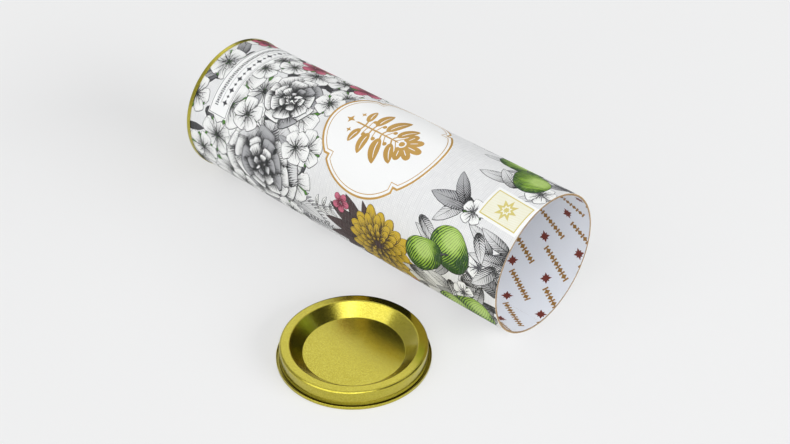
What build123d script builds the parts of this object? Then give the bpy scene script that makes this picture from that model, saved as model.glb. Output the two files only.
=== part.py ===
from build123d import *
import math
import os

# A cylindrical paper gift tube with a clinched tinplate base and a tinplate plug lid.
# The tube lies on its side, and its lid lies upside down on the floor in front of it.
# All sizes are in millimetres and all angles in degrees.
#
# The frame: the origin is the centre of the base's standing ring, +X runs along the tube
# out of its mouth, and +Z is up as the tube lies. An angle round the tube is measured
# from the top, towards the near side, which is -Y.

# Paper tube
tube_diameter = 80.0
tube_length = 235.0
wrap_thickness = 0.2
ply_thickness = 0.2
liner_thickness = 0.4
liner_clearance = 0.2

# Glued lap of the outer wrap, out of sight on the far side
lap_width = 10.0
lap_angle = 232.0

# Tinplate
tin_gauge = 0.3
bend_radius = 0.5
soft_bend_radius = 1.0

# Base end: its skirt outside the tube, its wall inside the bore, and its stiffened panel
base_skirt_height = 3.0
base_wall_clearance = 0.05
base_groove_depth = 4.4
base_groove_width = 2.4
base_panel_depth = 3.2
base_panel_slope = 0.8
base_ring_inset = 4.2
base_ring_width = 2.4
base_ring_step = 0.7

# Lid: sizes as it lies upside down, heights above the floor
lid_wall_clearance = 0.15
lid_rim_height = 2.1
lid_height = 10.0
lid_shoulder_radius = 1.3
lid_deck_width = 5.1
lid_slope_width = 6.6
lid_panel_height = 3.7
lid_from_mouth = 55.0
lid_aside = 86.0

# Paper labels
label_thickness = 0.12

# Front label: a square of four shallow lobes with a small notch between each pair
front_label_from_mouth = 102.8
front_label_angle = 15.0
front_label_reach = 38.0
front_label_corner = 25.6
front_label_notch = 1.3

# Information label: a band that runs round the tube near the base
info_label_place = 23.7
info_label_width = 14.8
info_label_span_angle = 143.0
info_label_angle = -6.5

# Seal label, stuck on by hand a little out of square beside the mouth
seal_label_gap = 0.5
seal_label_length = 26.8
seal_label_width = 19.6
seal_label_angle = 24.4
seal_label_tilt = 3.6

# Radii of the layers, from the outside in
tube_radius = tube_diameter / 2
wrap_inner_radius = tube_radius - wrap_thickness
outer_ply_radius = wrap_inner_radius - ply_thickness
middle_ply_radius = outer_ply_radius - ply_thickness
inner_ply_radius = middle_ply_radius - ply_thickness
bore_radius = inner_ply_radius - liner_thickness

label_outer_radius = tube_radius + label_thickness

# The tin rims clear the lapped wrap, and the floor is where the base's skirt touches it
rim_inner_radius = tube_radius + wrap_thickness
rim_radius = rim_inner_radius + tin_gauge
floor_level = -rim_radius

# The wrap and the board stand in the base's channel, where its bends have become straight
paper_start = tin_gauge / 2 + bend_radius

# The card liner is slid in last, down to the base's groove
liner_start = base_groove_depth + tin_gauge + liner_clearance


def place_round(shape, angle):
    """Turns a shape made at the top of the tube to its angle."""
    return Rot(X=angle) * shape


def layer(inner_radius, outer_radius, start):
    """One paper layer of the tube, from where it starts in the base to the mouth."""
    section = Circle(outer_radius) - Circle(inner_radius)
    return extrude(Plane.YZ.offset(start) * section, amount=tube_length - start)


def strip(inner_radius, thickness, start, end, turn, angle):
    """A strip bent round the tube, centred on an angle, that covers a turn of the tube."""
    corner = (start, inner_radius)
    section = Pos(*corner) * Rectangle(end - start, thickness, align=Align.MIN)
    bent = revolve(Plane.XZ * section, axis=Axis.X, revolution_arc=turn)
    return place_round(bent, angle - turn / 2)


def bent_label(outline, angle):
    """A flat outline, laid over the top of the tube as a thin label and turned to its angle."""
    column = extrude(outline, amount=label_outer_radius)
    skin = Circle(label_outer_radius) - Circle(tube_radius)
    sleeve = extrude(Plane.YZ * skin, amount=tube_length)
    return place_round((sleeve & column).solid(), angle)


def across(arc):
    """Where a point of a label lies across the tube, seen from above, for its arc from the top."""
    return tube_radius * math.sin(arc / tube_radius)


def tin_section(points, bends):
    """The cut face of a stamped sheet that follows a bent line, with its edges rounded."""
    path = FilletPolyline(*points, radius=bends)
    return make_face(path.offset_2d(tin_gauge / 2))


def near_side(section, length, radius):
    """Only the part of a section that lies on one side of the axis it is turned about."""
    return section & (Pos(-length, 0) * Rectangle(2 * length, radius, align=Align.MIN))


def printed_wrap():
    """The outer printed paper, with the lap where its far edge is glued over the near one."""
    lap_turn = math.degrees(lap_width / tube_radius)
    lap = strip(tube_radius, wrap_thickness, paper_start, tube_length, lap_turn, lap_angle)
    return (layer(wrap_inner_radius, tube_radius, paper_start) + lap).solid()


def board_outer_ply():
    return layer(outer_ply_radius, wrap_inner_radius, paper_start)


def board_middle_ply():
    return layer(middle_ply_radius, outer_ply_radius, paper_start)


def board_inner_ply():
    return layer(inner_ply_radius, middle_ply_radius, paper_start)


def inner_liner():
    return layer(bore_radius, inner_ply_radius, liner_start)


def base_end():
    """The tinplate end: skirt, web, wall, groove and a panel with one stiffening ring."""
    half = tin_gauge / 2
    skirt = rim_inner_radius + half
    wall = inner_ply_radius - base_wall_clearance - half
    groove = base_groove_depth + half
    panel = base_panel_depth + half
    panel_edge = wall - base_groove_width
    slope_end = panel_edge - base_panel_slope
    ring_edge = slope_end - base_ring_inset
    ring_end = ring_edge - base_ring_width
    points = [
        (base_skirt_height - half, skirt),
        (half, skirt),
        (half, wall),
        (groove, wall),
        (groove, panel_edge),
        (panel, slope_end),
        (panel, ring_edge + base_ring_step),
        (panel - base_ring_step, ring_edge),
        (panel - base_ring_step, ring_end),
        (panel, ring_end - base_ring_step),
        (panel, -soft_bend_radius),
    ]
    bends = [
        bend_radius,
        bend_radius,
        soft_bend_radius,
        bend_radius,
        bend_radius,
        soft_bend_radius,
        bend_radius,
        bend_radius,
        soft_bend_radius,
    ]
    section = near_side(tin_section(points, bends), groove + tin_gauge, rim_radius)
    return revolve(Plane.XZ * section, axis=Axis.X).solid()


def lid():
    """The tinplate plug lid, upside down: hooked rim, plug wall, shoulder, deck and panel."""
    half = tin_gauge / 2
    rim = rim_inner_radius + half
    wall = bore_radius - lid_wall_clearance - half
    deck = lid_height - half
    deck_end = wall - lid_deck_width
    panel = lid_panel_height - half
    points = [
        (rim, lid_rim_height - half),
        (rim, half),
        (wall, half),
        (wall, deck),
        (deck_end, deck),
        (deck_end - lid_slope_width, panel),
        (-soft_bend_radius, panel),
    ]
    bends = [bend_radius, bend_radius, lid_shoulder_radius, soft_bend_radius, bend_radius]
    section = tin_section(points, bends) & Rectangle(rim_radius, lid_height, align=Align.MIN)
    turned = revolve(Plane.XZ * section, axis=Axis.Z).solid()
    return Pos(tube_length - lid_from_mouth, -lid_aside, floor_level) * turned


def lobe_outline():
    """The front label's outline, drawn as flat paper and then narrowed as the tube bends it."""
    reach, corner, notch = front_label_reach, front_label_corner, front_label_notch
    end_along, end_across = corner + notch, corner - notch
    sagitta = reach - end_along
    lobe_radius = (end_across**2 + sagitta**2) / (2 * sagitta)
    half_turn = math.asin(end_across / lobe_radius)
    steps = 12
    edges = []
    for quarter in range(4):
        turn = math.pi / 2 * quarter

        def bent_point(along, aside):
            u = along * math.cos(turn) - aside * math.sin(turn)
            v = along * math.sin(turn) + aside * math.cos(turn)
            return (u, across(v))

        lobe = []
        for step in range(steps + 1):
            angle = half_turn * (2 * step / steps - 1)
            along = reach - lobe_radius * (1 - math.cos(angle))
            lobe.append(bent_point(along, lobe_radius * math.sin(angle)))
        inner = bent_point(end_across, end_across)
        following = bent_point(end_across, end_along)
        edges += [Spline(*lobe), Line(lobe[-1], inner), Line(inner, following)]
    return make_face(edges)


def front_label():
    """The cartouche label that faces the viewer."""
    outline = Pos(tube_length - front_label_from_mouth, 0) * lobe_outline()
    return bent_label(outline, front_label_angle)


def info_label():
    """The band label near the base."""
    start = info_label_place - info_label_width / 2
    end = info_label_place + info_label_width / 2
    return strip(tube_radius, label_thickness, start, end, info_label_span_angle, info_label_angle)


def seal_label():
    """The seal sticker beside the mouth."""
    place = tube_length - seal_label_gap - seal_label_length / 2
    width = 2 * across(seal_label_width / 2)
    outline = Pos(place, 0) * Rot(Z=seal_label_tilt) * Rectangle(seal_label_length, width)
    return bent_label(outline, seal_label_angle)


PARTS = [
    printed_wrap,
    board_outer_ply,
    board_middle_ply,
    board_inner_ply,
    inner_liner,
    base_end,
    lid,
    front_label,
    info_label,
    seal_label,
]

os.makedirs("parts", exist_ok=True)
for make in PARTS:
    export_step(make(), f"parts/{make.__name__}.step")
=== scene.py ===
import math
import random
from functools import partialmethod

import bpy
import numpy as np
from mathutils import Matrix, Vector
from mathutils.geometry import delaunay_2d_cdt


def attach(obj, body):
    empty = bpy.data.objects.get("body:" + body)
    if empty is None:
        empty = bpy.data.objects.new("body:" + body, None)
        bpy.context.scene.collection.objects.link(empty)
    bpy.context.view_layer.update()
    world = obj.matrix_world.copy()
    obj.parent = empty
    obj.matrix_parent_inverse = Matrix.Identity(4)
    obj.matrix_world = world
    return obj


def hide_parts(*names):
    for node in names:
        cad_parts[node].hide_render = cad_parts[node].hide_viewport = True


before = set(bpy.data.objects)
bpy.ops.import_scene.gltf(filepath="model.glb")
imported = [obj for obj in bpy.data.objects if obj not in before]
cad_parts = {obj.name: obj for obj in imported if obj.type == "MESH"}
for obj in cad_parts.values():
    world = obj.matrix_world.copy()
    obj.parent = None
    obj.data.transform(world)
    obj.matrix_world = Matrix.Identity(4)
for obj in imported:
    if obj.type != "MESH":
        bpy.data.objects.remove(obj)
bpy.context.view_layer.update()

# A paper gift tube on its side, with its tinplate lid beside it. The tinplate and the board
# keep their CAD solids. The wrap, the liner and the labels are printed sheets, cut along the
# outlines of their art. Art is drawn flat, in millimetres, as (x, s): x runs along the tube
# from its base, and s runs round it from its top towards the near side, measured on the
# tube's outer radius. Then it is bent onto the tube. Angles are in radians.
MM = 0.001
TUBE_R, TUBE_END = 40.0, 235.0
WRAP_IN_R, WRAP_START = 39.8, 0.65
LINER_R, LINER_OUT_R, LINER_START = 38.8, 39.2, 4.9
LABEL_R = 40.12
FULL = 2 * math.pi
TURN = FULL * TUBE_R
DEG = math.pi / 180 * TUBE_R

# The wrap's glued lap: its outer edge, its width, and the length and height of its rise
LAP_EDGE, LAP_WIDTH, LAP_RAMP, LAP_RISE = 166.9, 10.0, 9.0, 0.2

# Each label's middle, as (x, s), and its size
FRONT_AT = (TUBE_END - 102.8, 15.0 * DEG)
FRONT_REACH, FRONT_CORNER, FRONT_NOTCH = 38.0, 25.6, 1.3
INFO_AT, INFO_SIZE = (23.7, -6.5 * DEG), (14.8, 143.0 * DEG)
SEAL_AT, SEAL_SIZE = (TUBE_END - 0.5 - 13.4, 24.4 * DEG), (26.8, 19.6)
SEAL_TILT = math.radians(3.6)
LABEL_OVERLAP = 1.0

# Meshing: lines along a sheet keep it round, the backs of the sleeves have straight steps,
# points closer than WELD become one, and the liner's two edges stand SLIT apart
GRID_STEP = TURN / 72
RING_STEPS = 120
WELD = 0.002
SLIT = 0.03

# How a patch's engraved lines run
STRAIGHT, SLANTED, ROUND, RULED = 0, 1, 2, 3

# The lid's axis and the floor that it lies on, in metres
LID_AT = (0.18, -0.086, -0.0405)

# The linen's distance between threads, in millimetres
THREAD = 1.12

rng = random.Random(20)


def rgb(r, g, b):
    """A colour read off a screen, 0 to 255, as the linear colour that shows like it."""
    return tuple(((c / 255 + 0.055) / 1.055) ** 2.4 if c > 10 else c / 3295 for c in (r, g, b))


PAPER = rgb(232, 232, 232)
LABEL = rgb(248, 248, 247)
LINER = rgb(233, 236, 242)
CUT_PAPER = rgb(180, 172, 158)
CUT_CARD = rgb(116, 94, 66)
INK = rgb(14, 14, 16)
GREY_INK = rgb(62, 62, 66)
SOFT_INK = rgb(96, 96, 100)
WHITE = rgb(250, 250, 248)
PALE = rgb(226, 226, 226)
GREY = rgb(178, 178, 180)
MID = rgb(118, 118, 121)
DARK = rgb(66, 66, 69)
DARK_TONES = (GREY, MID, DARK)
GREEN = rgb(70, 128, 24)
LEAF_GREEN = rgb(58, 92, 30)
FRUIT, FRUIT_INK, FRUIT_BLOOM = rgb(164, 206, 62), rgb(24, 66, 0), rgb(222, 236, 170)
CRIMSON, CRIMSON_INK = rgb(206, 104, 130), rgb(96, 14, 40)
OCHRE, OCHRE_INK = rgb(212, 178, 40), rgb(62, 42, 6)
BROWN, BROWN_INK = rgb(66, 46, 44), rgb(22, 12, 12)
FOIL = rgb(198, 156, 80)
CREAM, CREAM_INK, SEAL_LINE = rgb(245, 244, 228), rgb(236, 232, 202), rgb(214, 200, 116)
STAR_RED, LINER_GOLD = rgb(112, 40, 28), rgb(150, 108, 44)


# Flat geometry

def unit(vectors):
    return vectors / (np.linalg.norm(vectors, axis=-1, keepdims=True) + 1e-9)


def left_of(vectors):
    """Flat vectors turned a quarter turn to the left."""
    return np.stack([-vectors[..., 1], vectors[..., 0]], -1)


def polar(at, angle, reach):
    """The point at a distance from another one, in a direction."""
    return (at[0] + reach * math.cos(angle), at[1] + reach * math.sin(angle))


def rectangle(length, width, tilt=0.0):
    """The corners of a rectangle round the origin."""
    corners = np.array([(-1, -1), (1, -1), (1, 1), (-1, 1)]) * (length / 2, width / 2)
    c, s = math.cos(tilt), math.sin(tilt)
    return corners @ np.array([(c, s), (-s, c)])


def inset(outline, amount):
    """An outline moved straight inwards by an even amount."""
    a = left_of(unit(outline - np.roll(outline, 1, 0)))
    b = left_of(unit(np.roll(outline, -1, 0) - outline))
    middle = a + b
    return outline + middle / np.clip((middle * a).sum(1), 0.35, None)[:, None] * amount


def shrink(outline, amount):
    """An outline moved inwards, a little more on its shaded side, like an inked line."""
    ahead = np.roll(outline, -1, 0)
    inward = left_of(unit(ahead - np.roll(outline, 1, 0)))
    area = np.sum(outline[:, 0] * ahead[:, 1] - ahead[:, 0] * outline[:, 1])
    inward *= math.copysign(1, area)
    weight = 1 + 0.45 * (inward @ np.array([-0.5, -0.8]))
    return outline + inward * (amount * weight)[:, None]


def arc_line(at, angle, length, bend):
    """Two functions of a line that bends evenly. One gives the points for places t along it,
    from 0 to 1, and offsets from it. The other gives t and the offset of points."""
    at = np.asarray(at, float)
    start = angle - bend / 2
    if abs(bend) < 1e-3:
        along = np.array([math.cos(angle), math.sin(angle)])
        aside = left_of(along)

        def out(t, offset):
            return at + np.outer(t * length, along) + np.outer(offset, aside)

        def back(points):
            v = points - at
            return v @ along / length, v @ aside

        return out, back
    radius = length / bend
    centre = at + radius * np.array([-math.sin(start), math.cos(start)])

    def out(t, offset):
        turn = start + bend * np.asarray(t)
        reach = radius - np.asarray(offset)
        return centre + np.stack([reach * np.sin(turn), -reach * np.cos(turn)], -1)

    def back(points):
        v = (points - centre) * math.copysign(1, radius)
        turn = np.arctan2(v[:, 0], -v[:, 1]) - start
        turn = (turn + math.pi) % FULL - math.pi
        return turn / bend, radius - math.copysign(1, radius) * np.hypot(v[:, 0], v[:, 1])

    return out, back


def on_line(at, angle, length, bend, t):
    """The point and the heading at t on a line that bends evenly."""
    out = arc_line(at, angle, length, bend)[0]
    return out(np.array([t]), np.zeros(1))[0], angle - bend / 2 + bend * t


# The strokes of the print. Art is a list of patches, painted in order.

class Patch:
    """A flat shape of one colour. Its hatch is (number of lines, shade, how they run), its
    wash is how much the ink also tints it, and its coords place points on the shape. The
    inner points keep its mesh fine enough for them."""

    def __init__(self, outline, fill, ink=INK, hatch=(0, 0, STRAIGHT), wash=0.0, coords=None,
                 inner=(), foil=0):
        self.outline = np.asarray(outline, float)
        self.fill, self.ink, self.hatch, self.wash = fill, ink, hatch, wash
        self.coords, self.inner, self.foil = coords, inner, foil


def stroke(art, at, angle, length, width, fill=WHITE, ink=INK, bend=0.0, shape=(0.9, 0.35),
           wave=0.0, lines=9, shade=0.6, vein=STRAIGHT, wash=0.35, line=0.28, points=10,
           foil=0, folds=0, root=0.0):
    """One petal, leaf or stem: a shape round a bending line, inked round its edge. The two
    numbers of its shape say how slowly it swells from its foot and narrows to its tip."""
    p, q = shape
    peak = (p / (p + q)) ** p * (q / (p + q)) ** q if p + q > 0 else 1.0
    phase, beats = rng.uniform(0, 6.28), rng.choice((2, 3, 3, 4))

    def half(t, side=0):
        t = np.clip(t, 0, 1)
        body = (t ** p if p else 1.0) * ((1 - t) ** q if q else 1.0) / peak * width / 2
        return body * (1 + wave * np.sin(beats * FULL * t + phase + side * 1.7))

    out, back = arc_line(at, angle, length, bend)
    t = 0.5 - 0.5 * np.cos(math.pi * np.linspace(0, 1, points))
    if p + q == 0:
        outline = np.concatenate([out(t, half(t)), out(t[::-1], -half(t[::-1]))])
    else:
        outline = np.concatenate([out(t[:-1], half(t[:-1])), out(t[:0:-1], -half(t[:0:-1], 1))])

    def coords(points):
        t, offset = back(points)
        w = offset / (half(t) + 0.05)
        return np.clip((t - root) / (1 - root), 0, 1), np.clip(w, -1.2, 1.2)

    inner = out(np.array([0.25, 0.5, 0.75]), np.zeros(3)) if width > 3 else ()
    if line:
        art.append(Patch(outline, ink))
        outline = shrink(outline, line)
    art.append(Patch(outline, fill, ink, (lines, shade, vein), wash, coords, inner, foil))
    for k in range(folds):
        place = (k + 0.5) / folds * 1.5 - 0.75 + rng.uniform(-0.1, 0.1)
        t = np.linspace(root * 0.8 + 0.04, rng.uniform(0.5, 0.85) * (1 - root) + root, 4)
        thick = 0.25 * (1 - np.linspace(0, 1, 4)) ** 0.6 + 0.02
        fold = place * half(t)
        sides = [out(t, fold + thick), out(t[::-1], (fold - thick)[::-1])]
        art.append(Patch(np.concatenate(sides), ink))


def stem(art, at, angle, length, width, fill=INK, **more):
    """A stroke of one colour, with no inked edge and no engraving."""
    stroke(art, at, angle, length, width, fill, line=0, shade=0, **more)


def disc(art, at, radius, fill, ink=INK, line=0.0, sides=9, foil=0):
    """A round spot, with an inked edge where line is its width."""
    turn = np.linspace(0, FULL, sides, endpoint=False)
    ring = np.stack([np.cos(turn), np.sin(turn)], -1)
    if line:
        art.append(Patch(at + ring * radius, ink))
    art.append(Patch(at + ring * (radius - line), fill, foil=foil))


def star(art, at, size, points, inner, turn, fill, foil=0):
    """A star, or a lozenge if its inner points lie on its sides."""
    angles = turn + np.arange(2 * points) * math.pi / points
    reach = np.where(np.arange(2 * points) % 2 == 0, size, size * inner)
    ring = np.stack([np.cos(angles), np.sin(angles)], -1)
    art.append(Patch(np.asarray(at) + ring * reach[:, None], fill, foil=foil))


def around(count, turn, spread, shift=0.0):
    """Angles evenly round a flower, in a random order and each a little out of true."""
    for i in rng.sample(range(count), count):
        yield turn + (i + shift) * FULL / count + rng.uniform(-spread, spread)


def blossom(art, at, size, petals=5, fill=WHITE, ink=INK, shade=0.6, accent=GREEN, broad=0.95,
            stamens=8, tip=(0.75, 0.3), folds=2):
    """An open flower with sepals behind it and stamens in the middle."""
    turn = rng.uniform(0, 6)
    if accent:
        for i in range(petals):
            if rng.random() < 0.7:
                a = turn + (i + 0.5) * FULL / petals
                stroke(art, at, a, size * 0.92, size * 0.42, accent, shape=(0.5, 0.7), lines=5,
                       shade=0.7)
    for a in around(petals, turn, 0.08):
        stroke(art, polar(at, a, size * 0.08), a, size * rng.uniform(0.88, 1.0),
               size * broad * rng.uniform(0.9, 1.05), fill, ink, bend=rng.uniform(-0.3, 0.3),
               shape=tip, wave=0.08, lines=13, shade=shade, wash=0.4, points=11, folds=folds)
    for i in range(stamens):
        a = turn + i * FULL / stamens + rng.uniform(-0.2, 0.2)
        reach = size * rng.uniform(0.3, 0.46)
        stem(art, at, a, reach, 0.26, ink, shape=(0, 0), points=2)
        disc(art, polar(at, a, reach), 0.4, ink, sides=6)
    disc(art, at, size * 0.09, ink)


def rosette(art, at, size, turn, fill=PALE, shade=1.0, counts=(10, 9, 8, 6, 4)):
    """A full double flower: rings of wavy petals that darken towards the heart."""
    for ring, count in enumerate(counts):
        k = ring / (len(counts) - 1)
        for a in around(count, turn, 0.14, 0.5 * (ring % 2)):
            start = size * (0.34 * (1 - k) + 0.02)
            reach = size * (1.0 - 0.74 * k) * rng.uniform(0.9, 1.06) - start * 0.8
            tone = rng.choice((WHITE, WHITE, fill, GREY))
            width = reach * rng.uniform(0.95, 1.25) * (1 - 0.2 * k)
            stroke(art, polar(at, a, start), a, reach, width, tone, bend=rng.uniform(-0.5, 0.5),
                   shape=(0.7, 0.28), wave=0.12, lines=15, shade=shade * rng.uniform(1.0, 1.4),
                   wash=1.0, line=0.42, points=12, folds=4, root=0.42 - 0.3 * k)
    disc(art, at, size * 0.07, INK)


def leaf(art, at, angle, length, width=None, fill=PALE, ink=INK, bend=None, shade=0.55,
         wash=0.3):
    """A pointed leaf with a midrib and slanting veins."""
    width = width or length * rng.uniform(0.3, 0.42)
    bend = rng.uniform(-0.7, 0.7) if bend is None else bend
    stroke(art, at, angle, length, width, fill, ink, bend=bend, shape=(0.55, 0.85), wave=0.03,
           lines=max(5, length / 1.5), shade=shade, vein=SLANTED, wash=wash)
    stem(art, at, angle, length * 0.93, 0.5, ink, bend=bend, shape=(0.0, 0.7), points=6)


def sprig(art, at, angle, length, bend):
    """A bending stem with white leaves and a bud at its tip."""
    pairs, size = 4, 9.5
    stroke(art, at, angle, length, 0.9, GREY, bend=bend, shape=(0.0, 0.35), line=0.2, shade=0)
    for i in range(pairs):
        t = (i + 0.8) / (pairs + 0.6)
        here, heading = on_line(at, angle, length, bend, t)
        for side in (-1, 1):
            leaf(art, here, heading + side * rng.uniform(0.6, 0.95),
                 size * rng.uniform(0.8, 1.1) * (1.15 - 0.5 * t), fill=WHITE, bend=-side * 0.4,
                 shade=0.7)
    tip = on_line(at, angle, length, bend, 1.0)[0]
    for spread in (-0.5, 0.5, 0):
        stroke(art, tip, angle + bend / 2 + spread, size * 0.9, size * 0.42, shape=(0.6, 0.7),
               lines=6, shade=0.5)


def fern(art, at, angle, length, bend=0.5, pairs=12):
    """A frond, whose narrow leaflets shorten towards its tip."""
    stem(art, at, angle, length, 0.7, bend=bend, shape=(0.0, 0.4), points=8)
    for i in range(pairs):
        t = (i + 0.6) / pairs
        here, heading = on_line(at, angle, length, bend, t)
        reach = length * 0.3 * (1.0 - 0.72 * t) * (0.55 + 0.45 * min(1, 3 * t + 0.3))
        for side in (-1, 1):
            stroke(art, here, heading + side, reach, max(0.9, reach * 0.24), GREY,
                   bend=-side * 0.5, shape=(0.4, 0.7), lines=4, shade=0.8, wash=0.5, line=0.18,
                   points=8)


def pear(art, at, radius, stalk):
    """A green pear, engraved with lines round its belly. Stalk is the angle of its stalk."""
    at = np.asarray(at, float)
    light = unit(np.array([0.5, -0.85]))
    along = np.array([math.cos(stalk), math.sin(stalk)])
    turn = np.linspace(0, FULL, 40, endpoint=False)
    neck = np.clip(np.cos(turn), 0, 1) ** 3.2
    reach = radius * (0.92 + 0.5 * neck + 0.02 * np.sin(3 * turn + at[0]))
    outline = (at + np.outer(reach * np.cos(turn), along)
               + np.outer(reach * np.sin(turn), left_of(along)))

    def coords(points):
        v = (points - at) / radius
        return v @ light, v @ left_of(light)

    hatch = (1.45 * radius, 1.0, ROUND)
    art.append(Patch(outline, INK))
    art.append(Patch(shrink(outline, 0.3), FRUIT, FRUIT_INK, hatch, 0.5, coords))
    stroke(art, polar(at, stalk, radius * 1.3), stalk, radius * 0.55, 1.3, DARK, bend=0.7,
           shape=(0, 0.1), line=0.2, shade=0, points=6)
    eye = polar(at, stalk + math.pi, radius * 0.78)
    star(art, eye, radius * 0.13, 5, 0.4, stalk, FRUIT_INK)


# The wrap's print. Rows are (x, s), an angle, a length and perhaps a bend, or (x, s), a size.

def leaves(art, rows, tones=(), **look):
    """A leaf for each row, each in one of the tones if there are any."""
    for x, s, turn, reach in rows:
        if tones:
            look["fill"] = rng.choice(tones)
        leaf(art, (x, s), turn, reach, **look)


def blossoms(art, rows, **look):
    for x, s, size in rows:
        blossom(art, (x, s), size, **look)


def dense_ground(art):
    """Dark leaves and fronds near the base, and paler ones that reach out of them."""
    for s in range(-82, 166, 13):
        for x in (2, 15, 28, 42, 56, 70, 84):
            spot = (x + rng.uniform(-5, 5), s + rng.uniform(-5, 5))
            turn = rng.uniform(0, 6.28)
            if rng.random() < 0.3:
                fern(art, spot, turn, rng.uniform(18, 26), rng.uniform(-0.8, 0.8), pairs=9)
            else:
                leaf(art, spot, turn, rng.uniform(14, 24), fill=rng.choice(DARK_TONES),
                     shade=1.0, wash=0.8)
    for x, s, turn, reach in (
            (88, 62, 0.5, 30), (92, 84, -0.1, 34), (90, 110, 0.3, 30), (88, -38, -0.4, 30),
            (86, -62, 0.2, 32), (90, 138, 0.0, 30), (84, 50, 0.9, 24)):
        fern(art, (x, s), turn, reach)
    leaves(art, (
        (84, 70, 0.25, 30), (86, 96, -0.3, 28), (84, 122, 0.35, 30), (82, -48, 0.1, 28),
        (80, -74, -0.2, 30), (86, 150, -0.1, 28)), bend=0.4, shade=0.7)


def flowers(art):
    """Open flowers with leaves behind them, large double ones, and crimson ones by the top."""
    spots = []
    for _ in range(400):
        x, s = rng.uniform(2, 96), rng.uniform(-84, 166)
        if all(math.hypot(x - a, s - b) > 16 for a, b in spots):
            spots.append((x, s))
    for k, spot in enumerate(spots):
        for i in range(2):
            leaf(art, polar(spot, rng.uniform(0, 6.3), 4), rng.uniform(0, 6.3),
                 rng.uniform(12, 18), fill=rng.choice(DARK_TONES), shade=1.0, wash=0.7)
        size = rng.uniform(10.0, 14.5)
        if k % 7 == 3:
            blossom(art, spot, size * 1.15, petals=6, shade=0.7, broad=0.55, tip=(0.7, 0.7))
        else:
            blossom(art, spot, size, shade=0.7, broad=0.86)
    rosette(art, (64, 60), 27, 0.3)
    rosette(art, (66, 16), 17, 1.1, WHITE, shade=0.75, counts=(9, 7, 5, 3))
    rosette(art, (56, 128), 24, 0.9)
    rosette(art, (60, -58), 22, 0.1)
    for x, s, size in ((86, 40, 10), (45, 36, 10), (44, 84, 11), (82, 86, 11), (34, 6, 9),
                       (46, -6, 9), (88, 8, 9)):
        leaf(art, (x, s), rng.uniform(0, 6.3), 15, fill=GREY, shade=0.9, wash=0.6)
        blossom(art, (x, s), size)
    blossoms(art, (
        (8, -20, 9), (52, -19, 11), (90, -22, 12), (84, -66, 10), (14, -70, 10),
        (60, 132, 11), (20, 150, 10)),
        fill=CRIMSON, ink=CRIMSON_INK, shade=1.3, broad=0.7, tip=(0.7, 0.5), folds=3)


def open_paper(art):
    """Line sprigs on the open paper."""
    for x, s, turn, reach, bend in (
            (112, 78, 0.1, 34, -0.5), (108, 96, 0.2, 38, 0.4), (120, 122, -0.1, 40, 0.5),
            (114, -62, 0.1, 36, -0.4), (118, -82, 0.0, 34, 0.3), (118, 148, 0.1, 36, -0.4),
            (104, 68, -0.3, 24, 0.4)):
        sprig(art, (x, s), turn, reach, bend)


def dahlia(art):
    """An ochre flower among dark brown leaves, under the cartouche."""
    middle = (154, 70)
    for turn, reach in ((2.1, 27), (4.3, 24), (2.45, 34), (3.9, 30), (2.8, 38), (3.5, 34),
                        (3.15, 36)):
        leaf(art, (150, 70), turn, reach, reach * 0.3, BROWN, BROWN_INK,
             bend=rng.uniform(-0.5, 0.5), shade=1.0)
    for turn in (0.1, 0.6, -0.5, 1.2):
        leaf(art, (154, 72), turn, 32, 11, OCHRE, OCHRE_INK, bend=0.3, shade=0.9)
    for k, ring in enumerate((21, 17, 12.5, 8.5, 5)):
        for a in around(16 - 2 * k, 0, 0.08, 0.5 * (k % 2)):
            stroke(art, polar(middle, a, ring * 0.15), a, ring * rng.uniform(0.85, 1),
                   ring * 0.38, OCHRE, OCHRE_INK, bend=rng.uniform(-0.3, 0.3),
                   shape=(0.7, 0.5), lines=7, shade=1.0, wash=0.8, root=0.4, folds=2)
    disc(art, middle, 2.6, BROWN, BROWN_INK, line=0.15, sides=14)
    blossoms(art, ((176, 92, 6), (164, 100, 7), (126, 56, 6)), fill=CRIMSON, ink=CRIMSON_INK,
             shade=0.9, accent=None, broad=0.8, stamens=5, tip=(0.7, 0.5))


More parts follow.
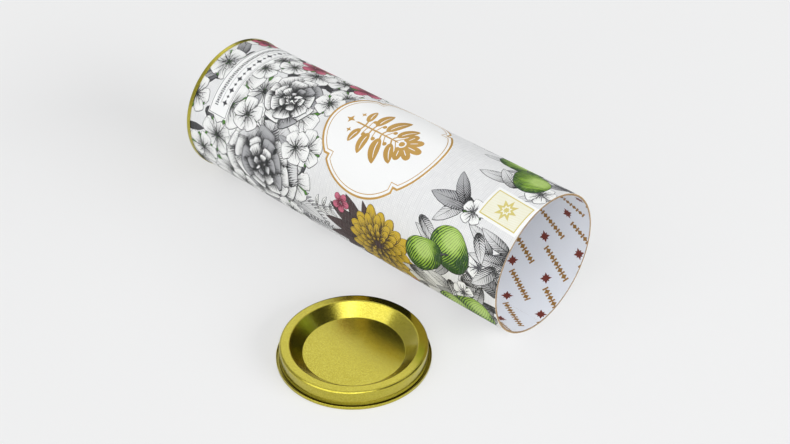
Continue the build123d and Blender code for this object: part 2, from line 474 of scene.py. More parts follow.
def fruit(art):
    """Branches, leaves, blossoms and pears towards the mouth, all the way round."""
    tones, look = (PALE, PALE, GREY), {"shade": 1.0, "wash": 0.5}
    for x, s, turn, reach, bend in (
            (241, 34, 2.75, 66, 0.5), (240, 70, 2.9, 64, -0.4), (240, -22, 3.3, 64, 0.5),
            (240, -62, 2.9, 60, -0.5), (240, 128, 3.2, 66, 0.4)):
        for i in range(7):
            here, heading = on_line((x, s), turn, reach, bend, 0.12 + 0.13 * i)
            side = 1 if i % 2 else -1
            leaf(art, here, heading + side * rng.uniform(0.5, 1.1), rng.uniform(17, 24),
                 fill=rng.choice(tones), bend=-side * 0.5, **look)
        stroke(art, (x, s), turn, reach, 5.0, GREY, bend=bend, shape=(0.0, 0.25), wave=0.1,
               lines=5, shade=1.0, wash=0.7, points=18)
    leaves(art, (
        (186, 100, 0.3, 26), (200, 108, 2.4, 22), (178, 40, 0.6, 20), (226, 60, 1.9, 22),
        (182, -30, 0.4, 24), (184, -76, 0.2, 28), (190, 142, 0.5, 26), (200, 20, 2.2, 24),
        (204, 22, 3.0, 27), (200, 24, -2.3, 22), (214, -4, 2.9, 24), (216, 2, -2.6, 20),
        (196, 104, -0.4, 24), (212, 62, -0.3, 22), (176, 72, 0.4, 22), (236, 48, 2.5, 22),
        (234, 76, 2.2, 20), (238, 60, -2.6, 24), (230, 92, -2.8, 24), (236, -6, 2.4, 22),
        (234, -30, 2.9, 24), (204, 66, 1.2, 20)), tones, bend=0.3, **look)
    blossoms(art, (
        (222, 50, 8), (214, 70, 7), (206, 26, 7), (228, -2, 8), (216, 112, 9), (222, -44, 9),
        (218, 156, 8)), ink=GREY_INK, shade=0.5, accent=LEAF_GREEN)
    leaves(art, ((238, 42, 3.0, 25), (236, 36, -2.9, 22), (214, 34, 1.0, 17),
                 (232, 46, 2.3, 20)), bend=0.3, **look)
    for x, s, radius, stalk in (
            (198, -24, 12, 0.3), (218, -8, 11, -2.3), (200, 48, 12, 0.5), (184, 60, 11, -0.4),
            (221, 82, 12.5, 2.9), (203, 88, 11, 0.9), (204, -66, 12, 0.4), (220, -78, 11, 2.6),
            (204, 130, 12, 0.2), (186, 138, 11, 1.0)):
        pear(art, (x, s), radius, stalk)


def wrap_art():
    """A botanical print of the builder's own: flowers near the base, fruit near the mouth.
    It stays plain under the labels, which hide it."""
    art = []
    for paint in (dense_ground, flowers, open_paper, dahlia, fruit):
        paint(art)
    for outline in (front_outline(), info_outline(), seal_outline()):
        art.append(Patch(inset(outline, LABEL_OVERLAP), PAPER))
    return art


# The labels' outlines and their art, and the liner's art

def front_outline():
    """Four shallow lobes with a notch between each pair."""
    end_along, end_across = FRONT_CORNER + FRONT_NOTCH, FRONT_CORNER - FRONT_NOTCH
    rise = FRONT_REACH - end_along
    radius = (end_across ** 2 + rise ** 2) / (2 * rise)
    half_turn = math.asin(end_across / radius)
    lobe = [(FRONT_REACH - radius * (1 - math.cos(a)), radius * math.sin(a))
            for a in np.linspace(-half_turn, half_turn, 29)]
    lobe.append((end_across, end_across))
    outline = []
    for quarter in range(4):
        c, s = math.cos(math.pi / 2 * quarter), math.sin(math.pi / 2 * quarter)
        outline += [(u * c - v * s, u * s + v * c) for u, v in lobe]
    return np.array(FRONT_AT) + np.array(outline)


def info_outline():
    return np.array(INFO_AT) + rectangle(*INFO_SIZE)


def seal_outline():
    """A rectangle a little out of square, cut off where it would pass the mouth."""
    outline = np.array(SEAL_AT) + rectangle(*SEAL_SIZE, SEAL_TILT)
    outline[:, 0] = np.minimum(outline[:, 0], TUBE_END)
    return outline


def front_art():
    """A wide and a narrow gold line round a symmetrical gold sprig."""
    art = []
    for offset, fill, foil in ((0, FOIL, 1), (1.2, LABEL, 0), (2.6, FOIL, 1),
                               (2.6 + 0.45, LABEL, 0)):
        art.append(Patch(inset(front_outline(), offset), fill, foil=foil))

    def gold(*place, **more):
        stem(art, *place, fill=FOIL, foil=1, **more)

    def gap(*place, **more):
        stem(art, *place, fill=LABEL, **more)

    x, s = FRONT_AT
    for side in (-1, 1):
        for ahead, turn, reach, width in ((-15, 1.75, 10, 4.6), (-9.5, 1.45, 13.5, 5.8),
                                          (-2.5, 1.2, 16, 6.6), (5, 1.0, 13, 5.6)):
            turn, bend = side * turn, -side * 0.45
            foot = (x + ahead, s + side * 0.5)
            gold(foot, turn, 4.0, 0.9, shape=(0, 0), points=4)
            foot = polar(foot, turn, 2.6)
            gold(foot, turn, reach, width, bend=bend, shape=(0.55, 0.7), points=16)
            gap(polar(foot, turn, 2.4), turn, reach * 0.66, 0.55, bend=bend, shape=(0.2, 0.5))
            turn -= side * 0.12
            gold((x + ahead + 2.4, s), turn, 5.2, 0.55, shape=(0, 0), points=4)
            disc(art, polar((x + ahead + 3.4, s), turn, 5.2), 1.25, FOIL, sides=16, foil=1)
    gold((x - 22, s), 0, 36, 1.1, shape=(0, 0.2), points=8)
    flower = (x + 12, s)
    for turn in (-1.25, -0.62, 0, 0.62, 1.25):
        gold(flower, turn, 13.5 - 2.2 * abs(turn), 5.2, shape=(0.8, 0.45), points=16)
        gap(polar(flower, turn, 4.5), turn, 5 - abs(turn), 0.5, shape=(0.3, 0.3))
    disc(art, flower, 2.6, LABEL, sides=18)
    disc(art, flower, 1.7, FOIL, sides=18, foil=1)
    for behind, aside, size in ((25.5, 0, 3.0), (21.5, -6.5, 1.8), (21.5, 6.5, 1.8)):
        star(art, (x - behind, s + aside), size, 4, 0.4, 0, FOIL, foil=1)
    return art


def info_art():
    """A thin grey frame with two quiet rows of lozenges and rules inside."""
    x, s = INFO_AT
    outline = info_outline()
    art = [Patch(inset(outline, 0.6), GREY_INK), Patch(inset(outline, 0.92), LABEL)]
    for k in range(-10, 11):
        here = s + k * 4.1
        star(art, (x + 2.6, here), 1.3 if k % 2 else 2.2, 4, 0.45, math.pi / 2, GREY_INK)
        for step, size in ((0, (1.7, 1.0)), (1.35, (2.6, 0.6)), (2.7, (2.6, 0.6))):
            art.append(Patch(np.array((x - 3.0, here + step)) + rectangle(*size), GREY_INK))
    for edge in (-0.4, 5.6):
        art.append(Patch(np.array((x + edge, s)) + rectangle(0.18, 84), SOFT_INK))
    return art


def seal_art():
    """A gold line round a ruled ground with a gold star."""
    across_rules = np.array([math.cos(0.8), math.sin(0.8)])

    def rules(points):
        return np.zeros(len(points)), points @ across_rules

    outline = seal_outline()
    ground = Patch(inset(outline, 2.15), CREAM, CREAM_INK, (2.1, 0.42, RULED), coords=rules)
    art = [Patch(inset(outline, 1.5), SEAL_LINE), ground]
    for size, inner, fill in ((6.6, 0.5, SEAL_LINE), (3.2, 0.6, CREAM), (1.9, 0.6, SEAL_LINE)):
        star(art, SEAL_AT, size, 8, inner, SEAL_TILT, fill)
    return art


def liner_art():
    """Slanting rows of small red stars and gold rules with lozenges between them."""
    first, column = (220.2, -58.0), 23.4
    row = (-11.7, TURN / 12)
    slant = 2.62
    art = []
    for i in range(-14, 12):
        for j in range(-8, 22):
            x, s = first[0] + i * column + j * row[0], first[1] + j * row[1]
            if not (-10 < x < 255 and abs(s) < TURN / 2 + 26):
                continue
            for size, turn in ((3.5, 0.6), (2.8, 0.6 + math.pi / 4)):
                star(art, (x, s), size, 4, 0.45, turn, STAR_RED)
            middle = np.array((x + 1.2, s + 10.0))
            for k in range(-5, 6):
                spot = middle + k * 2.2 * np.array([math.cos(slant), math.sin(slant)])
                if k % 2:
                    art.append(Patch(spot + rectangle(1.0, 3.6, slant), LINER_GOLD))
                else:
                    star(art, spot, 1.9, 4, 0.6, slant, LINER_GOLD)
    return art


# Cutting a flat sheet along its art

def inside(points, outline):
    """Which points lie within an outline."""
    x, y = points[:, :1], points[:, 1:2]
    x0, y0 = outline[:, 0], outline[:, 1]
    x1, y1 = np.roll(x0, -1), np.roll(y0, -1)
    with np.errstate(divide="ignore", invalid="ignore"):
        crossing = ((y0 > y) != (y1 > y)) & (x < (x1 - x0) * (y - y0) / (y1 - y0) + x0)
    return crossing.sum(1) % 2 == 1


def topmost(points, patches):
    """The number of the last patch painted over each point, or -1."""
    top = np.full(len(points), -1)
    order = np.argsort(points[:, 0])
    xs = points[order, 0]
    for k, patch in enumerate(patches):
        low, high = patch.outline.min(0), patch.outline.max(0)
        near = order[np.searchsorted(xs, low[0]):np.searchsorted(xs, high[0])]
        near = near[(points[near, 1] >= low[1]) & (points[near, 1] <= high[1])]
        if len(near):
            top[near[inside(points[near], patch.outline)]] = k
    return top


def loop_edges(start, count):
    """The edges of an outline whose points have the numbers from start on."""
    return [(start + i, start + (i + 1) % count) for i in range(count)]


def triangulate(points, edges, domain):
    """The points, triangles and triangles' middles of a domain cut along all the edges."""
    result = delaunay_2d_cdt([Vector(p) for p in points], edges, [], 0, WELD, False)
    flat, tris = np.array([tuple(v) for v in result[0]]), np.array(result[2], int)
    centres = flat[tris].mean(1)
    keep = inside(centres, domain)
    return flat, tris[keep], centres[keep]


def cut_sheet(domain, patches):
    """Cuts a sheet along what shows of each patch. Returns the points, the triangles, and
    the number of the patch that each triangle belongs to."""
    domain = np.asarray(domain, float)
    points, edges = list(domain), loop_edges(0, len(domain))
    for patch in patches:
        edges += loop_edges(len(points), len(patch.outline))
        points += list(patch.outline)
    flat, tris, centres = triangulate(points, edges, domain)
    sides = {}
    for tri, patch in zip(tris.tolist(), topmost(centres, patches).tolist()):
        for a, b in ((0, 1), (1, 2), (2, 0)):
            key = (min(tri[a], tri[b]), max(tri[a], tri[b]))
            sides.setdefault(key, []).append(patch)
    kept = [key for key, both in sides.items() if len(both) == 1 or both[0] != both[1]]
    used = {v: i for i, v in enumerate(sorted({v for key in kept for v in key}))}
    points = [flat[v] for v in used]
    edges = [(used[a], used[b]) for a, b in kept]

    # Inner points of the patches that show there, and lines along the sheet
    inner = [(k, p) for k, patch in enumerate(patches) for p in patch.inner]
    if inner:
        spots = np.array([p for k, p in inner])
        seen = topmost(spots, patches) == np.array([k for k, p in inner])
        points += list(spots[seen & inside(spots, domain)])
    low, high = domain.min(0), domain.max(0)
    for line in range(math.ceil(low[1] / GRID_STEP), math.floor(high[1] / GRID_STEP) + 1):
        s = line * GRID_STEP
        if low[1] + 1e-3 < s < high[1] - 1e-3:
            edges.append((len(points), len(points) + 1))
            points += [np.array([low[0] - 1, s]), np.array([high[0] + 1, s])]
    flat, tris, centres = triangulate(points, edges, domain)
    used = np.unique(tris)
    renumber = np.full(len(flat), -1)
    renumber[used] = np.arange(len(used))
    return flat[used], renumber[tris], topmost(centres, patches)


# Bending the sheets onto the tube

def bend_round(flat, radius):
    """Flat points bent onto the tube at a radius."""
    turn = flat[:, 1] / TUBE_R
    return np.stack([flat[:, 0], -radius * np.sin(turn), radius * np.cos(turn)], -1)


def lap_rise(s):
    """How far the wrap stands off the tube's radius where it laps over its own edge."""
    rise = np.clip((s - (LAP_EDGE - LAP_RAMP - LAP_WIDTH)) / LAP_RAMP, 0, 1)
    return LAP_RISE * rise * rise * (3 - 2 * rise)


def face_normals(verts, faces):
    a, b, c = verts[faces[:, 0]], verts[faces[:, 1]], verts[faces[:, 2]]
    return np.cross(b - a, c - a)


def sides_of(faces):
    """The sides of triangles, each from vertex to vertex."""
    return [(face[i], face[(i + 1) % 3]) for face in faces for i in range(3)]


def rim_edges(tris):
    """The sides that only one triangle has."""
    sides = dict.fromkeys(sides_of(tris.tolist()))
    return [(a, b) for a, b in sides if (b, a) not in sides]


def add_object(name, data):
    added = bpy.data.objects.new(name, data)
    bpy.context.scene.collection.objects.link(added)
    return added


class Sheet:
    """A printed sheet that stands for a CAD node: its flat print, and its face on the tube."""

    def __init__(self, node, slot, radius, back_radius, outline, art, paper, cut, lapped=False):
        self.node, self.slot, self.art, self.paper, self.cut = node, slot, art, paper, cut
        self.outward = radius > back_radius
        self.flat, self.tris, self.top = cut_sheet(outline, art)
        self.face = bend_round(self.flat, radius + (lap_rise(self.flat[:, 1]) if lapped else 0))
        normals, middles = face_normals(self.face, self.tris), self.face[self.tris].mean(1)
        if (np.einsum("ij,ij->", normals[:, 1:], middles[:, 1:]) > 0) != self.outward:
            self.tris = self.tris[:, ::-1]

    def place(self, verts, rest):
        """Puts the sheet in its node's place: its printed face and the rest of its faces."""
        name, node, slot = self.node + "_sheet", self.node, self.slot
        faces = np.concatenate([self.tris, np.array(rest, int)])
        mesh = bpy.data.meshes.new(name)
        mesh.from_pydata((verts * MM).tolist(), [], faces.tolist())
        self.print_colours(mesh, len(faces))
        self.print_places(mesh, verts, faces)
        mesh.materials.append(papers[slot])
        if any(patch.foil for patch in self.art):
            mesh.materials.append(foil)
        radial = unit(verts * (0, 1, 1))
        normals = radial[faces] * (1 if self.outward else -1)
        printed = len(self.tris)
        normals[printed:] = unit(face_normals(verts, faces[printed:]))[:, None]
        mesh.normals_split_custom_set(normals.reshape(-1, 3).tolist())
        piece = add_object(name, mesh)
        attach(piece, "tube")
        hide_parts(node)

    def print_colours(self, mesh, total):
        """Each face's fill and wash, ink, and hatch, and whether it is foil."""
        table = self.art + [Patch([(0, 0)], self.paper), Patch([(0, 0)], self.cut)]
        style = np.array([[*p.fill, p.wash, *p.ink, 1.0, *p.hatch, p.foil] for p in table])
        bare, cut = len(self.art), len(self.art) + 1
        kinds = [np.where(self.top < 0, bare, self.top), np.full(total - len(self.tris), cut)]
        chosen = style[np.concatenate(kinds)]
        for label, kind, key, columns in (("fill", "FLOAT_COLOR", "color", slice(0, 4)),
                                          ("ink", "FLOAT_COLOR", "color", slice(4, 8)),
                                          ("hatch", "FLOAT_VECTOR", "vector", slice(8, 11))):
            layer = mesh.attributes.new(label, kind, "FACE")
            layer.data.foreach_set(key, chosen[:, columns].astype(np.float32).ravel())
        mesh.polygons.foreach_set("material_index", chosen[:, 11].astype(int))

    def print_places(self, mesh, verts, faces):
        """Each corner's place on its own patch, and on the sheet in millimetres."""
        on_patch = np.zeros((len(faces), 3, 2))
        order = np.argsort(self.top, kind="stable")
        starts = np.searchsorted(self.top[order], np.arange(len(self.art) + 1))
        for patch, first, last in zip(self.art, starts, starts[1:]):
            mine = order[first:last]
            if patch.coords is not None and len(mine):
                places = patch.coords(self.flat[self.tris[mine]].reshape(-1, 2))
                on_patch[mine] = np.stack(places, -1).reshape(-1, 3, 2)
        arc = -np.arctan2(verts[:, 1], verts[:, 2]) * TUBE_R
        on_sheet = np.stack([verts[:, 0], arc], -1)[faces]
        on_sheet[:len(self.tris)] = self.flat[self.tris]
        for label, values in (("art", on_patch), ("sheet", on_sheet)):
            layer = mesh.uv_layers.new(name=label)
            layer.data.foreach_set("uv", values.astype(np.float32).ravel())


def make_label(node, slot, outline, art):
    """A label on the wrap: its face, its back, and its edge all round."""
    sheet = Sheet(node, slot, LABEL_R, TUBE_R, outline, art, LABEL, LABEL)
    verts = np.concatenate([sheet.face, bend_round(sheet.flat, TUBE_R)])
    back = len(sheet.flat)
    edge = [face for p, q in rim_edges(sheet.tris)
            for face in ((q, p, p + back), (q, p + back, q + back))]
    sheet.place(verts, np.concatenate([sheet.tris[:, ::-1] + back, np.array(edge, int)]))


def zip_rows(row_a, key_a, row_b, key_b):
    """Triangles between two rows of vertices that run the same way, matched by their keys."""
    out, i, j = [], 0, 0
    while i < len(row_a) - 1 or j < len(row_b) - 1:
        if j == len(row_b) - 1 or (i < len(row_a) - 1 and key_a[i + 1] <= key_b[j + 1]):
            out.append((row_a[i], row_a[i + 1], row_b[j]))
            i += 1
        else:
            out.append((row_a[i], row_b[j + 1], row_b[j]))
            j += 1
    return out


def wound(group, used):
    """A group of faces, turned over if it runs the same way as the faces beside it."""
    sides = sides_of(group)
    if any(side in used for side in sides):
        group, sides = [face[::-1] for face in group], [side[::-1] for side in sides]
    used.update(sides)
    return group


def make_sleeve(node, slot, radius, back_radius, start, seam, art, paper, cut, lapped):
    """A closed sleeve of one sheet, whose ends overlap in a glued lap or leave a fine slit."""
    slit = 0 if lapped else SLIT / 2
    end, low, high = TUBE_END, seam - TURN + slit, seam - slit
    outline = [(start, low), (end, low), (end, high), (start, high)]
    sheet = Sheet(node, slot, radius, back_radius, outline, art, paper, cut, lapped)
    flat, tris = sheet.flat, sheet.tris

    # The back has one ring of vertices at either end. Under a lap, its last one is its first.
    columns = RING_STEPS if lapped else RING_STEPS + 1
    ring = np.linspace(low, high, RING_STEPS + 1)
    back = [np.stack([np.full(columns, x), ring[:columns]], -1) for x in (start, end)]
    verts = np.concatenate([sheet.face, bend_round(np.concatenate(back), back_radius)])
    near, far = ([len(flat) + first + i % columns for i in range(RING_STEPS + 1)]
                 for first in (0, columns))
    border = np.array(sorted({v for edge in rim_edges(tris) for v in edge}))

    def row(axis, value):
        """The border's vertices on one side of the sheet, in order, and their keys."""
        mine = border[np.abs(flat[border, axis] - value) < 1.5 * WELD]
        mine = mine[np.argsort(flat[mine, 1 - axis])]
        return mine.tolist(), flat[mine, 1 - axis]

    lower, upper = row(1, low), row(1, high)
    groups = [zip_rows(*row(0, start), near, ring), zip_rows(*row(0, end), far, ring),
              zip_rows(near, ring, far, ring)]
    if lapped:
        groups += [zip_rows(*lower, *upper), [(lower[0][0], upper[0][0], near[0])],
                   [(lower[0][-1], upper[0][-1], far[0])]]
    else:
        groups += [zip_rows(*side, [near[i], far[i]], [start, end])
                   for side, i in ((lower, 0), (upper, -1))]
    used = set(sides_of(tris.tolist()))
    sheet.place(verts, [face for group in groups for face in wound(group, used)])


# Materials

class Nodes:
    """Builds a node tree in few words. A value is a number, a colour or another's output."""

    def __init__(self, tree):
        self.tree = tree
        tree.nodes.clear()

    def node(self, kind, out=0, links=None, **settings):
        """Adds a node and returns one of its outputs, if it has any."""
        node = self.tree.nodes.new("ShaderNode" + kind)
        for key, value in settings.items():
            setattr(node, key, value)
        for socket, value in (links or {}).items():
            if isinstance(value, bpy.types.NodeSocket):
                self.tree.links.new(value, node.inputs[socket])
            else:
                node.inputs[socket].default_value = value
        return node.outputs[out] if len(node.outputs) else None

    def math(self, operation, *values, clamp=False):
        return self.node("Math", links=dict(enumerate(values)), operation=operation,
                         use_clamp=clamp)

    add, sub = partialmethod(math, "ADD"), partialmethod(math, "SUBTRACT")
    mul = partialmethod(math, "MULTIPLY")

    def tooth(self, value):
        """0 halfway between two whole numbers, rising to 0.5 at each of them."""
        return self.math("ABSOLUTE", self.sub(self.math("FRACT", value), 0.5))

    def ramp(self, value, low, high, to_low=0.0, to_high=1.0):
        """A smooth step from one value to another."""
        return self.node("MapRange", links={0: value, 1: low, 2: high, 3: to_low, 4: to_high},
                         interpolation_type="SMOOTHSTEP")

    def blend(self, factor, a, b):
        """Mixes two numbers."""
        return self.node("Mix", links={0: factor, 2: a, 3: b})

    def mix(self, factor, a, b):
        """Mixes two colours. One written as numbers gets its alpha here."""
        a, b = ((*c, 1) if isinstance(c, tuple) else c for c in (a, b))
        return self.node("Mix", out=2, links={0: factor, 6: a, 7: b}, data_type="RGBA")

    def vector(self, operation, *values, out="Vector"):
        return self.node("VectorMath", out=out, links=dict(enumerate(values)),
                         operation=operation)

    def xyz(self, vector):
        return tuple(self.node("SeparateXYZ", links={0: vector}).node.outputs)

    def noise(self, place, scale, detail=3.0):
        """Noise of one scale, or of one for each direction."""
        if isinstance(scale, tuple):
            place, scale = self.vector("MULTIPLY", place, scale), 1.0
        return self.node("TexNoise", links={"Vector": place, "Scale": scale, "Detail": detail})

    def bump(self, height, distance, strength):
        return self.node("Bump", links={"Height": height, "Distance": distance,
                                        "Strength": strength})


class Shader(Nodes):
    """A material in the making."""

    def __init__(self, name):
        self.material = bpy.data.materials.new(name)
        self.material.use_nodes = True
        super().__init__(self.material.node_tree)

    def finish(self, inputs, kind="BsdfPrincipled"):
        self.node("OutputMaterial", links={0: self.node(kind, links=inputs)})
        return self.material


def engraving(m, sheet):
    """Each face's colour under its engraved lines, and where the paper is left bare. Lines
    swell towards the root of a petal or leaf, run round the belly of a fruit, or are even
    rules. On a patch, t runs from its root to its tip and w from side to side."""
    fill = m.node("Attribute", attribute_name="fill")
    wash = fill.node.outputs["Alpha"]
    ink = m.node("Attribute", attribute_name="ink")
    count, shade, run = m.xyz(m.node("Attribute", out="Vector", attribute_name="hatch"))
    is_slanted = m.math("COMPARE", run, SLANTED, 0.3)
    is_fruit = m.math("COMPARE", run, ROUND, 0.3)
    art = m.node("UVMap", uv_map="art")
    t, w, _ = m.xyz(art)

    # A fruit fades from its lit spot instead, and its lines bulge with its belly
    spot = m.vector("DISTANCE", m.vector("MULTIPLY", art, (1, 0.92, 0)), (0.38, 0, 0),
                    out="Value")
    lit = m.sub(1.15, m.mul(spot, 1.15 / 1.3))
    lit = m.math("MINIMUM", m.math("MAXIMUM", lit, 0.0), 0.86)
    belly = m.math("SQRT", m.math("MAXIMUM", m.sub(1.1, m.mul(t, t)), 0.12))
    w = m.blend(is_fruit, w, m.math("DIVIDE", w, belly))
    t = m.blend(is_fruit, t, lit)

    # How near each point is to the middle of its line. All lines but rules wander a little.
    wander = m.mul(m.sub(m.noise(sheet, (0.35, 0.35, 1)), 0.5),
                   m.ramp(run, SLANTED, RULED, 1.1, 0.0))
    straight = m.mul(w, m.mul(count, 0.5))
    slanted = m.mul(m.sub(t, m.mul(m.math("ABSOLUTE", w), 0.22)), count)
    line = m.add(m.blend(is_slanted, straight, slanted), wander)
    peak = m.sub(1.0, m.mul(m.tooth(line), 2.0))

    # How dark each point is, and so how wide its line: most at the root and along one side
    root = m.math("POWER", m.sub(1.0, t), m.blend(is_fruit, 1.9, 0.95))
    tip = m.mul(m.ramp(t, 0.82, 1.0), m.blend(is_fruit, 0.3, 0.0))
    side = m.mul(m.ramp(w, 0.4, 1.0), 0.32)
    uneven = m.ramp(m.noise(sheet, (0.22, 0.22, 1)), 0.3, 0.7, 0.72, 1.2)
    level = m.mul(shade, m.add(m.add(root, tip), side))
    level = m.math("MULTIPLY", level, uneven, clamp=True)
    inked = m.mul(m.ramp(m.sub(peak, m.sub(1.0, level)), -0.1, 0.14),
                  m.math("GREATER_THAN", shade, 0.01))
    washed = m.mul(m.math("POWER", level, 1.5), wash)
    amount = m.math("ADD", m.mul(inked, 0.85), washed, clamp=True)
    bloom = m.mul(is_fruit, m.ramp(t, 0.45, 1.05, 0.0, 0.5))
    colour = m.mix(amount, m.mix(bloom, fill, FRUIT_BLOOM), ink)
    bright = m.ramp(m.node("SeparateColor", links={0: fill}), 0.3, 0.6)
    return colour, m.mul(m.math("LESS_THAN", shade, 0.01), bright)


def linen(m, sheet, colour, bare, rough):
    """A woven surface: ribs and rows of threads, broken broad ribs, and raised white dots
    that show most on bare paper. The sunken threads get painted shade. Returns the colour,
    the roughness and the normal."""
    x, s, _ = m.xyz(sheet)
    ribs, rows = m.tooth(m.mul(x, 1 / THREAD)), m.tooth(m.mul(s, 1 / THREAD))
    broad = m.ramp(m.tooth(m.mul(x, 0.5 / THREAD)), 0.36, 0.5)
    broken = m.ramp(m.noise(sheet, (0.9, 0.16, 1)), 0.42, 0.58)
    thread = m.add(m.mul(m.ramp(ribs, 0.28, 0.5), 0.5), m.mul(m.ramp(rows, 0.3, 0.5), 0.3))
    thread = m.add(thread, m.mul(m.mul(broad, broken), 0.9))
    cell = m.vector("MULTIPLY", sheet, (0.5 / THREAD, 0.5 / THREAD, 1))
    chance = m.node("TexWhiteNoise", links={"Vector": m.vector("FLOOR", cell)},
                    noise_dimensions="2D")
    dots = m.mul(m.ramp(ribs, 0.32, 0.12), m.ramp(rows, 0.32, 0.12))
    dots = m.mul(dots, m.math("GREATER_THAN", chance, 0.62))
    # Painted shade: the colour darkens along the sunken threads
    colour = m.mix(m.mul(thread, 0.19), colour, (0.30, 0.30, 0.31))
    colour = m.mix(m.mul(dots, m.ramp(bare, 0.0, 1.0, 0.05, 0.75)), colour, (0.93, 0.93, 0.92))
    height = m.add(m.sub(m.mul(dots, 0.5), thread), m.mul(m.noise(sheet, (6, 6, 1)), 0.6))
    gloss = m.ramp(m.noise(sheet, (0.5, 0.5, 1)), 0.3, 0.7, rough - 0.07, rough + 0.08)
    return colour, gloss, m.bump(height, 0.00003, 0.5)


def coated(m, sheet, colour, bare, rough):
    """A smooth surface with faint fibres, which returns what linen returns."""
    fibre = m.noise(sheet, (3.0, 1.2, 1), 4.0)
    colour = m.mix(m.ramp(fibre, 0.35, 0.75, 0.0, 0.05), colour, (0.45, 0.45, 0.44))
    gloss = m.ramp(fibre, 0.3, 0.7, rough - 0.06, rough + 0.06)
    return colour, gloss, m.bump(fibre, 0.00002, 0.35)


def printed_paper(name, surface, rough):
    """Paper with an engraved print and a surface of its own."""
    m = Shader(name)
    sheet = m.node("UVMap", uv_map="sheet")
    colour, gloss, normal = surface(m, sheet, *engraving(m, sheet), rough)
    return m.finish({"Base Color": colour, "Roughness": gloss, "Normal": normal,
                     "Specular IOR Level": 0.4})


def gold_foil():
    """Stamped foil, with a little grain and slightly worn spots."""
    m = Shader("gold_foil")
    fill = m.node("Attribute", attribute_name="fill")
    sheet = m.node("UVMap", uv_map="sheet")
    grain = m.noise(sheet, (2.2, 2.2, 1), 4.0)
    broad = m.noise(sheet, (0.06, 0.06, 1), 2.0)
    colour = m.mix(m.ramp(broad, 0.35, 0.65, 0.0, 0.45), fill, rgb(180, 138, 62))
    colour = m.mix(m.ramp(grain, 0.4, 0.8, 0.0, 0.2), colour, rgb(232, 202, 140))
    return m.finish({"Base Color": colour, "Metallic": 0.35,
                     "Roughness": m.ramp(grain, 0.3, 0.7, 0.36, 0.5),
                     "Normal": m.bump(grain, 0.00001, 0.3)})


def painted_channel_shade(m, place):
    """How dark and how dull the lid is where its hooked rim traps the light: round the foot
    of its plug wall and on the channel's floor. The darkness is painted shade. Radii and
    heights are in millimetres."""
    offset = m.vector("SUBTRACT", place, LID_AT)
    x, y, z = m.xyz(m.vector("MULTIPLY", offset, (1 / MM, 1 / MM, 1 / MM)))
    radius = m.math("SQRT", m.add(m.mul(x, x), m.mul(y, y)))
    foot = m.mul(m.ramp(radius, 38.8, 38.7), m.ramp(z, 1.9, 1.5))
    floor = m.mul(m.ramp(radius, 40.3, 40.22), m.ramp(z, 0.6, 0.3, 0.0, 0.6))
    dark = m.mul(m.math("MAXIMUM", foot, floor), m.ramp(radius, 38.4, 38.6))
    dark = m.mul(dark, m.ramp(z, 0.1, 0.2))
    dull = m.mul(m.ramp(radius, 39.0, 38.8), m.ramp(z, 4.2, 3.0))
    return dark, m.mul(dull, m.ramp(radius, 38.3, 38.5))


def gold_tin(name, channel=False):
    """Tinplate under a gold lacquer, satin and finely grained. With channel, painted shade
    darkens the lid's channel.
    """
    m = Shader(name)
    place = m.node("TexCoord", out="Object")
    grain = m.noise(place, 2300.0, 2.0)
    cloud = m.noise(place, 1300.0, 2.0)
    broad = m.noise(place, 30.0, 2.0)
    colour = m.mix(m.ramp(broad, 0.35, 0.65), rgb(184, 172, 46), rgb(176, 164, 34))
    colour = m.mix(m.ramp(grain, 0.34, 0.66), colour, rgb(208, 198, 80))
    colour = m.mix(m.ramp(cloud, 0.35, 0.65, 0.16, 0.0), colour, rgb(136, 122, 14))
    metal = 1.0
    if channel:
        # Painted shade: the colour darkens round the foot of the plug wall and on the channel's
        # floor
        dark, dull = painted_channel_shade(m, place)
        colour = m.mix(m.mul(dark, 0.9), colour, rgb(40, 26, 4))
        metal = m.sub(1.0, m.mul(dull, 0.42))
    return m.finish({"Base Color": colour, "Metallic": metal,
                     "Roughness": m.ramp(grain, 0.3, 0.7, 0.2, 0.27),
                     "Normal": m.bump(grain, 0.0000012, 0.3),
                     "Coat Weight": 0.5, "Coat Roughness": 0.1})


def kraft_board():
    """Raw board, cut square: brown fibres with paler and darker flecks."""
    m = Shader("kraft_board")
    fibre = m.noise(m.node("TexCoord", out="Object"), (500, 1500, 1500), 5.0)
    colour = m.mix(m.ramp(fibre, 0.3, 0.7), rgb(104, 82, 54), rgb(146, 120, 84))
    return m.finish({"Base Color": colour, "Roughness": m.ramp(fibre, 0.3, 0.7, 0.75, 0.92),
                     "Normal": m.bump(fibre, 0.00004, 0.6)})


papers = {name: printed_paper(name, surface, rough) for name, surface, rough in (
    ("wrap_paper", linen, 0.55), ("label_paper", coated, 0.5), ("seal_paper", coated, 0.45),
    ("liner_paper", coated, 0.6))}
foil, board = gold_foil(), kraft_board()
tin, lid_tin = gold_tin("gold_tin"), gold_tin("lid_tin", channel=True)

make_sleeve("printed_wrap", "wrap_paper", TUBE_R, WRAP_IN_R, WRAP_START, LAP_EDGE, wrap_art(),
            PAPER, CUT_PAPER, lapped=True)
make_sleeve("inner_liner", "liner_paper", LINER_R, LINER_OUT_R, LINER_START, TURN / 2,
            liner_art(), LINER, CUT_CARD, lapped=False)
make_label("front_label", "label_paper", front_outline(), front_art())
make_label("info_label", "label_paper", info_outline(), info_art())
make_label("seal_label", "seal_paper", seal_outline(), seal_art())

for node, material in (("lid", lid_tin), ("base_end", tin), ("board_outer_ply", board),
                       ("board_middle_ply", board), ("board_inner_ply", board)):
    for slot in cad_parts[node].material_slots:
        slot.material = material


# Floor, light and camera, in metres. VIEW_X and VIEW_Y point to the right of the picture and
# away from the viewer, along the floor.
CENTRE = Vector((0.15, -0.02, 0.0))
CAMERA = Vector((0.5862, -0.4946, 0.4719))
AIM = Vector((-0.54546, 0.59090, -0.59440))
LENS, SENSOR = 67.18, 36.0
VIEW_X = Vector((0.735, 0.678, 0.0))
VIEW_Y = Vector((-0.678, 0.735, 0.0))
FLOOR_Z, FLOOR_REACH = -0.0405 - 0.00005, 6.0

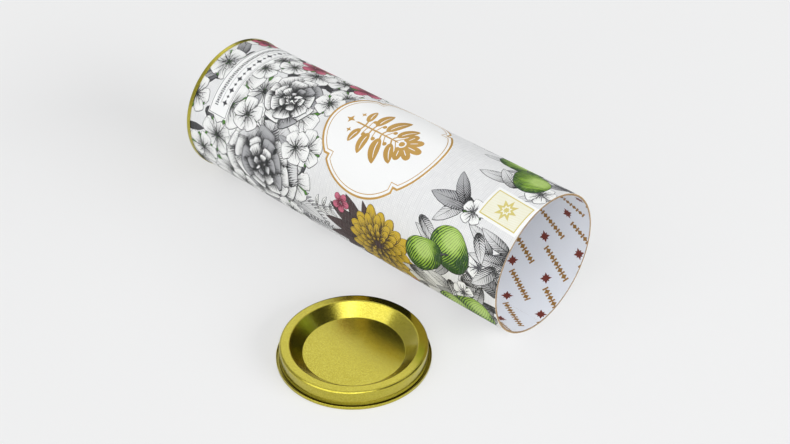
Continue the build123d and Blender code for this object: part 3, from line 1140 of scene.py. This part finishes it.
# The backdrop's grey as it shows, the studio's even light, and how much of the floor near
# the object is plain, the rest being lit and shaded
BACKDROP = 0.863
WORLD_LIGHT = 0.44
FLOOR_GLOW = 0.58

# What polished metal sees of the studio besides its pale walls: (right, away, up) of a
# panel's middle, the cosines at its soft edge, and how much it adds to the walls' light
PANELS = (
    ((0.18, -0.55, 0.81), 0.95, 0.995, 1.9),
    ((-0.42, -0.45, 0.79), 0.92, 0.985, -0.3),
    ((0.62, -0.34, 0.71), 0.90, 0.965, -1.0),
    ((0.85, 0.50, 0.18), 0.66, 0.93, -0.95),
    ((-0.92, 0.22, 0.32), 0.72, 0.95, -0.5),
    ((0.05, 1.00, 0.05), 0.80, 0.95, -0.9),
    ((-0.08, 0.72, 0.68), 0.93, 0.99, 0.35),
)
DARKEST_WALL = 0.04

# The soft boxes: (right, away, up) from the centre, size, power, and whether metal shows it
LAMPS = (
    ("key", (-1.8, -2.9, 2.5), (5.8, 4.1), 96.0, True),
    ("fill", (-1.8, -2.9, 2.5), (5.8, 4.1), 52.0, False),
    ("mouth", (3.0, -2.1, 1.15), (3.0, 1.9), 180.0, False),
)

# Cards that stand between the tube and the lid, in millimetres: start, end, top and tone
CARD_Y, CARD_FOOT = -46, -40.4
CARDS = (
    ("low_card", 112, 152, -22, (0.02, 0.02, 0.02)),
    ("black_card", 152, 184, -8, (0.02, 0.02, 0.02)),
    ("brown_card", 184, 224, -8, (0.42, 0.36, 0.2)),
)


def in_view(right, away, up):
    """A vector given as the camera sees the floor."""
    return VIEW_X * right + VIEW_Y * away + Vector((0, 0, up))


def flat_object(name, corners, material):
    mesh = bpy.data.meshes.new(name)
    mesh.from_pydata(corners, [], [(0, 1, 2, 3)])
    mesh.materials.append(material)
    return add_object(name, mesh)


def floor_material():
    """A pale floor that takes the object's shadow and shows as an even pale grey."""
    m = Shader("floor")
    place = m.node("TexCoord", out="Object")
    far = m.ramp(m.vector("DISTANCE", place, CENTRE, out="Value"), 0.26, 0.6)
    paint = m.mix(m.noise(place, 3.0, 2.0), (0.79, 0.79, 0.79), (0.81, 0.81, 0.81))
    diffuse = m.node("BsdfDiffuse", links={"Color": paint})
    plain = m.mix(far, (0.90, 0.90, 0.90), (BACKDROP, BACKDROP, BACKDROP))
    glow = m.node("Emission", links={"Color": plain, "Strength": 1.0})
    amount = m.mul(m.node("LightPath", out="Is Camera Ray"), m.blend(far, FLOOR_GLOW, 1.0))
    return m.finish({0: amount, 1: diffuse, 2: glow}, "MixShader")


def studio_world():
    """Even light. The camera sees the backdrop's grey, and metal sees the panels too."""
    world = bpy.data.worlds.new("studio")
    bpy.context.scene.world = world
    world.use_nodes = True
    m = Nodes(world.node_tree)
    place = m.node("TexCoord", out="Generated")
    camera = m.node("LightPath", out="Is Camera Ray")
    glossy = camera.node.outputs["Is Glossy Ray"]
    total = 0.0
    for middle, low, high, amount in PANELS:
        cosine = m.vector("DOT_PRODUCT", place, in_view(*middle).normalized(), out="Value")
        total = m.add(m.ramp(cosine, low, high, 0.0, amount), total)
    walls = m.math("MAXIMUM", m.math("MULTIPLY_ADD", total, glossy, 1.0), DARKEST_WALL)
    light = m.node("Background", links={0: (0.96, 0.98, 1.0, 1), 1: WORLD_LIGHT})
    seen = m.node("Background", links={0: walls, 1: BACKDROP})
    either = m.math("MAXIMUM", camera, glossy)
    m.node("OutputWorld", links={0: m.node("MixShader", links={0: either, 1: light, 2: seen})})


def card_material(name, tone):
    m = Shader(name)
    grain = m.noise(m.node("TexCoord", out="Object"), 60.0)
    return m.finish({"Color": m.mix(grain, tone, tuple(1.2 * c for c in tone))}, "BsdfDiffuse")


floor = flat_object("floor", [(x * FLOOR_REACH, y * FLOOR_REACH, FLOOR_Z)
                              for x, y in ((-1, -1), (1, -1), (1, 1), (-1, 1))],
                    floor_material())
studio_world()

camera = add_object("camera", bpy.data.cameras.new("camera"))
camera.data.lens, camera.data.sensor_width = LENS, SENSOR
camera.location = CAMERA
camera.rotation_euler = AIM.to_track_quat("-Z", "Y").to_euler()
bpy.context.scene.camera = camera

for name, place, size, power, mirrored in LAMPS:
    lamp = add_object(name, bpy.data.lights.new(name, "AREA"))
    lamp.data.shape, lamp.data.size, lamp.data.size_y = "RECTANGLE", *size
    lamp.data.energy = power
    lamp.location = CENTRE + in_view(*place)
    lamp.rotation_euler = (CENTRE - lamp.location).to_track_quat("-Z", "Y").to_euler()
    lamp.visible_glossy = mirrored

# Only reflections see the cards, as photographers stand them beside polished metal. They
# put painted dark and brownish reflections on the lid, in place of the tube's shaded side.
for name, start, end, top, tone in CARDS:
    corners = ((start, CARD_FOOT), (end, CARD_FOOT), (end, top), (start, top))
    card = flat_object(name, [(MM * x, MM * CARD_Y, MM * z) for x, z in corners],
                       card_material(name, tone))
    card.visible_camera = card.visible_diffuse = card.visible_shadow = False

bpy.context.scene.view_settings.view_transform = "Standard"
bpy.context.view_layer.update()
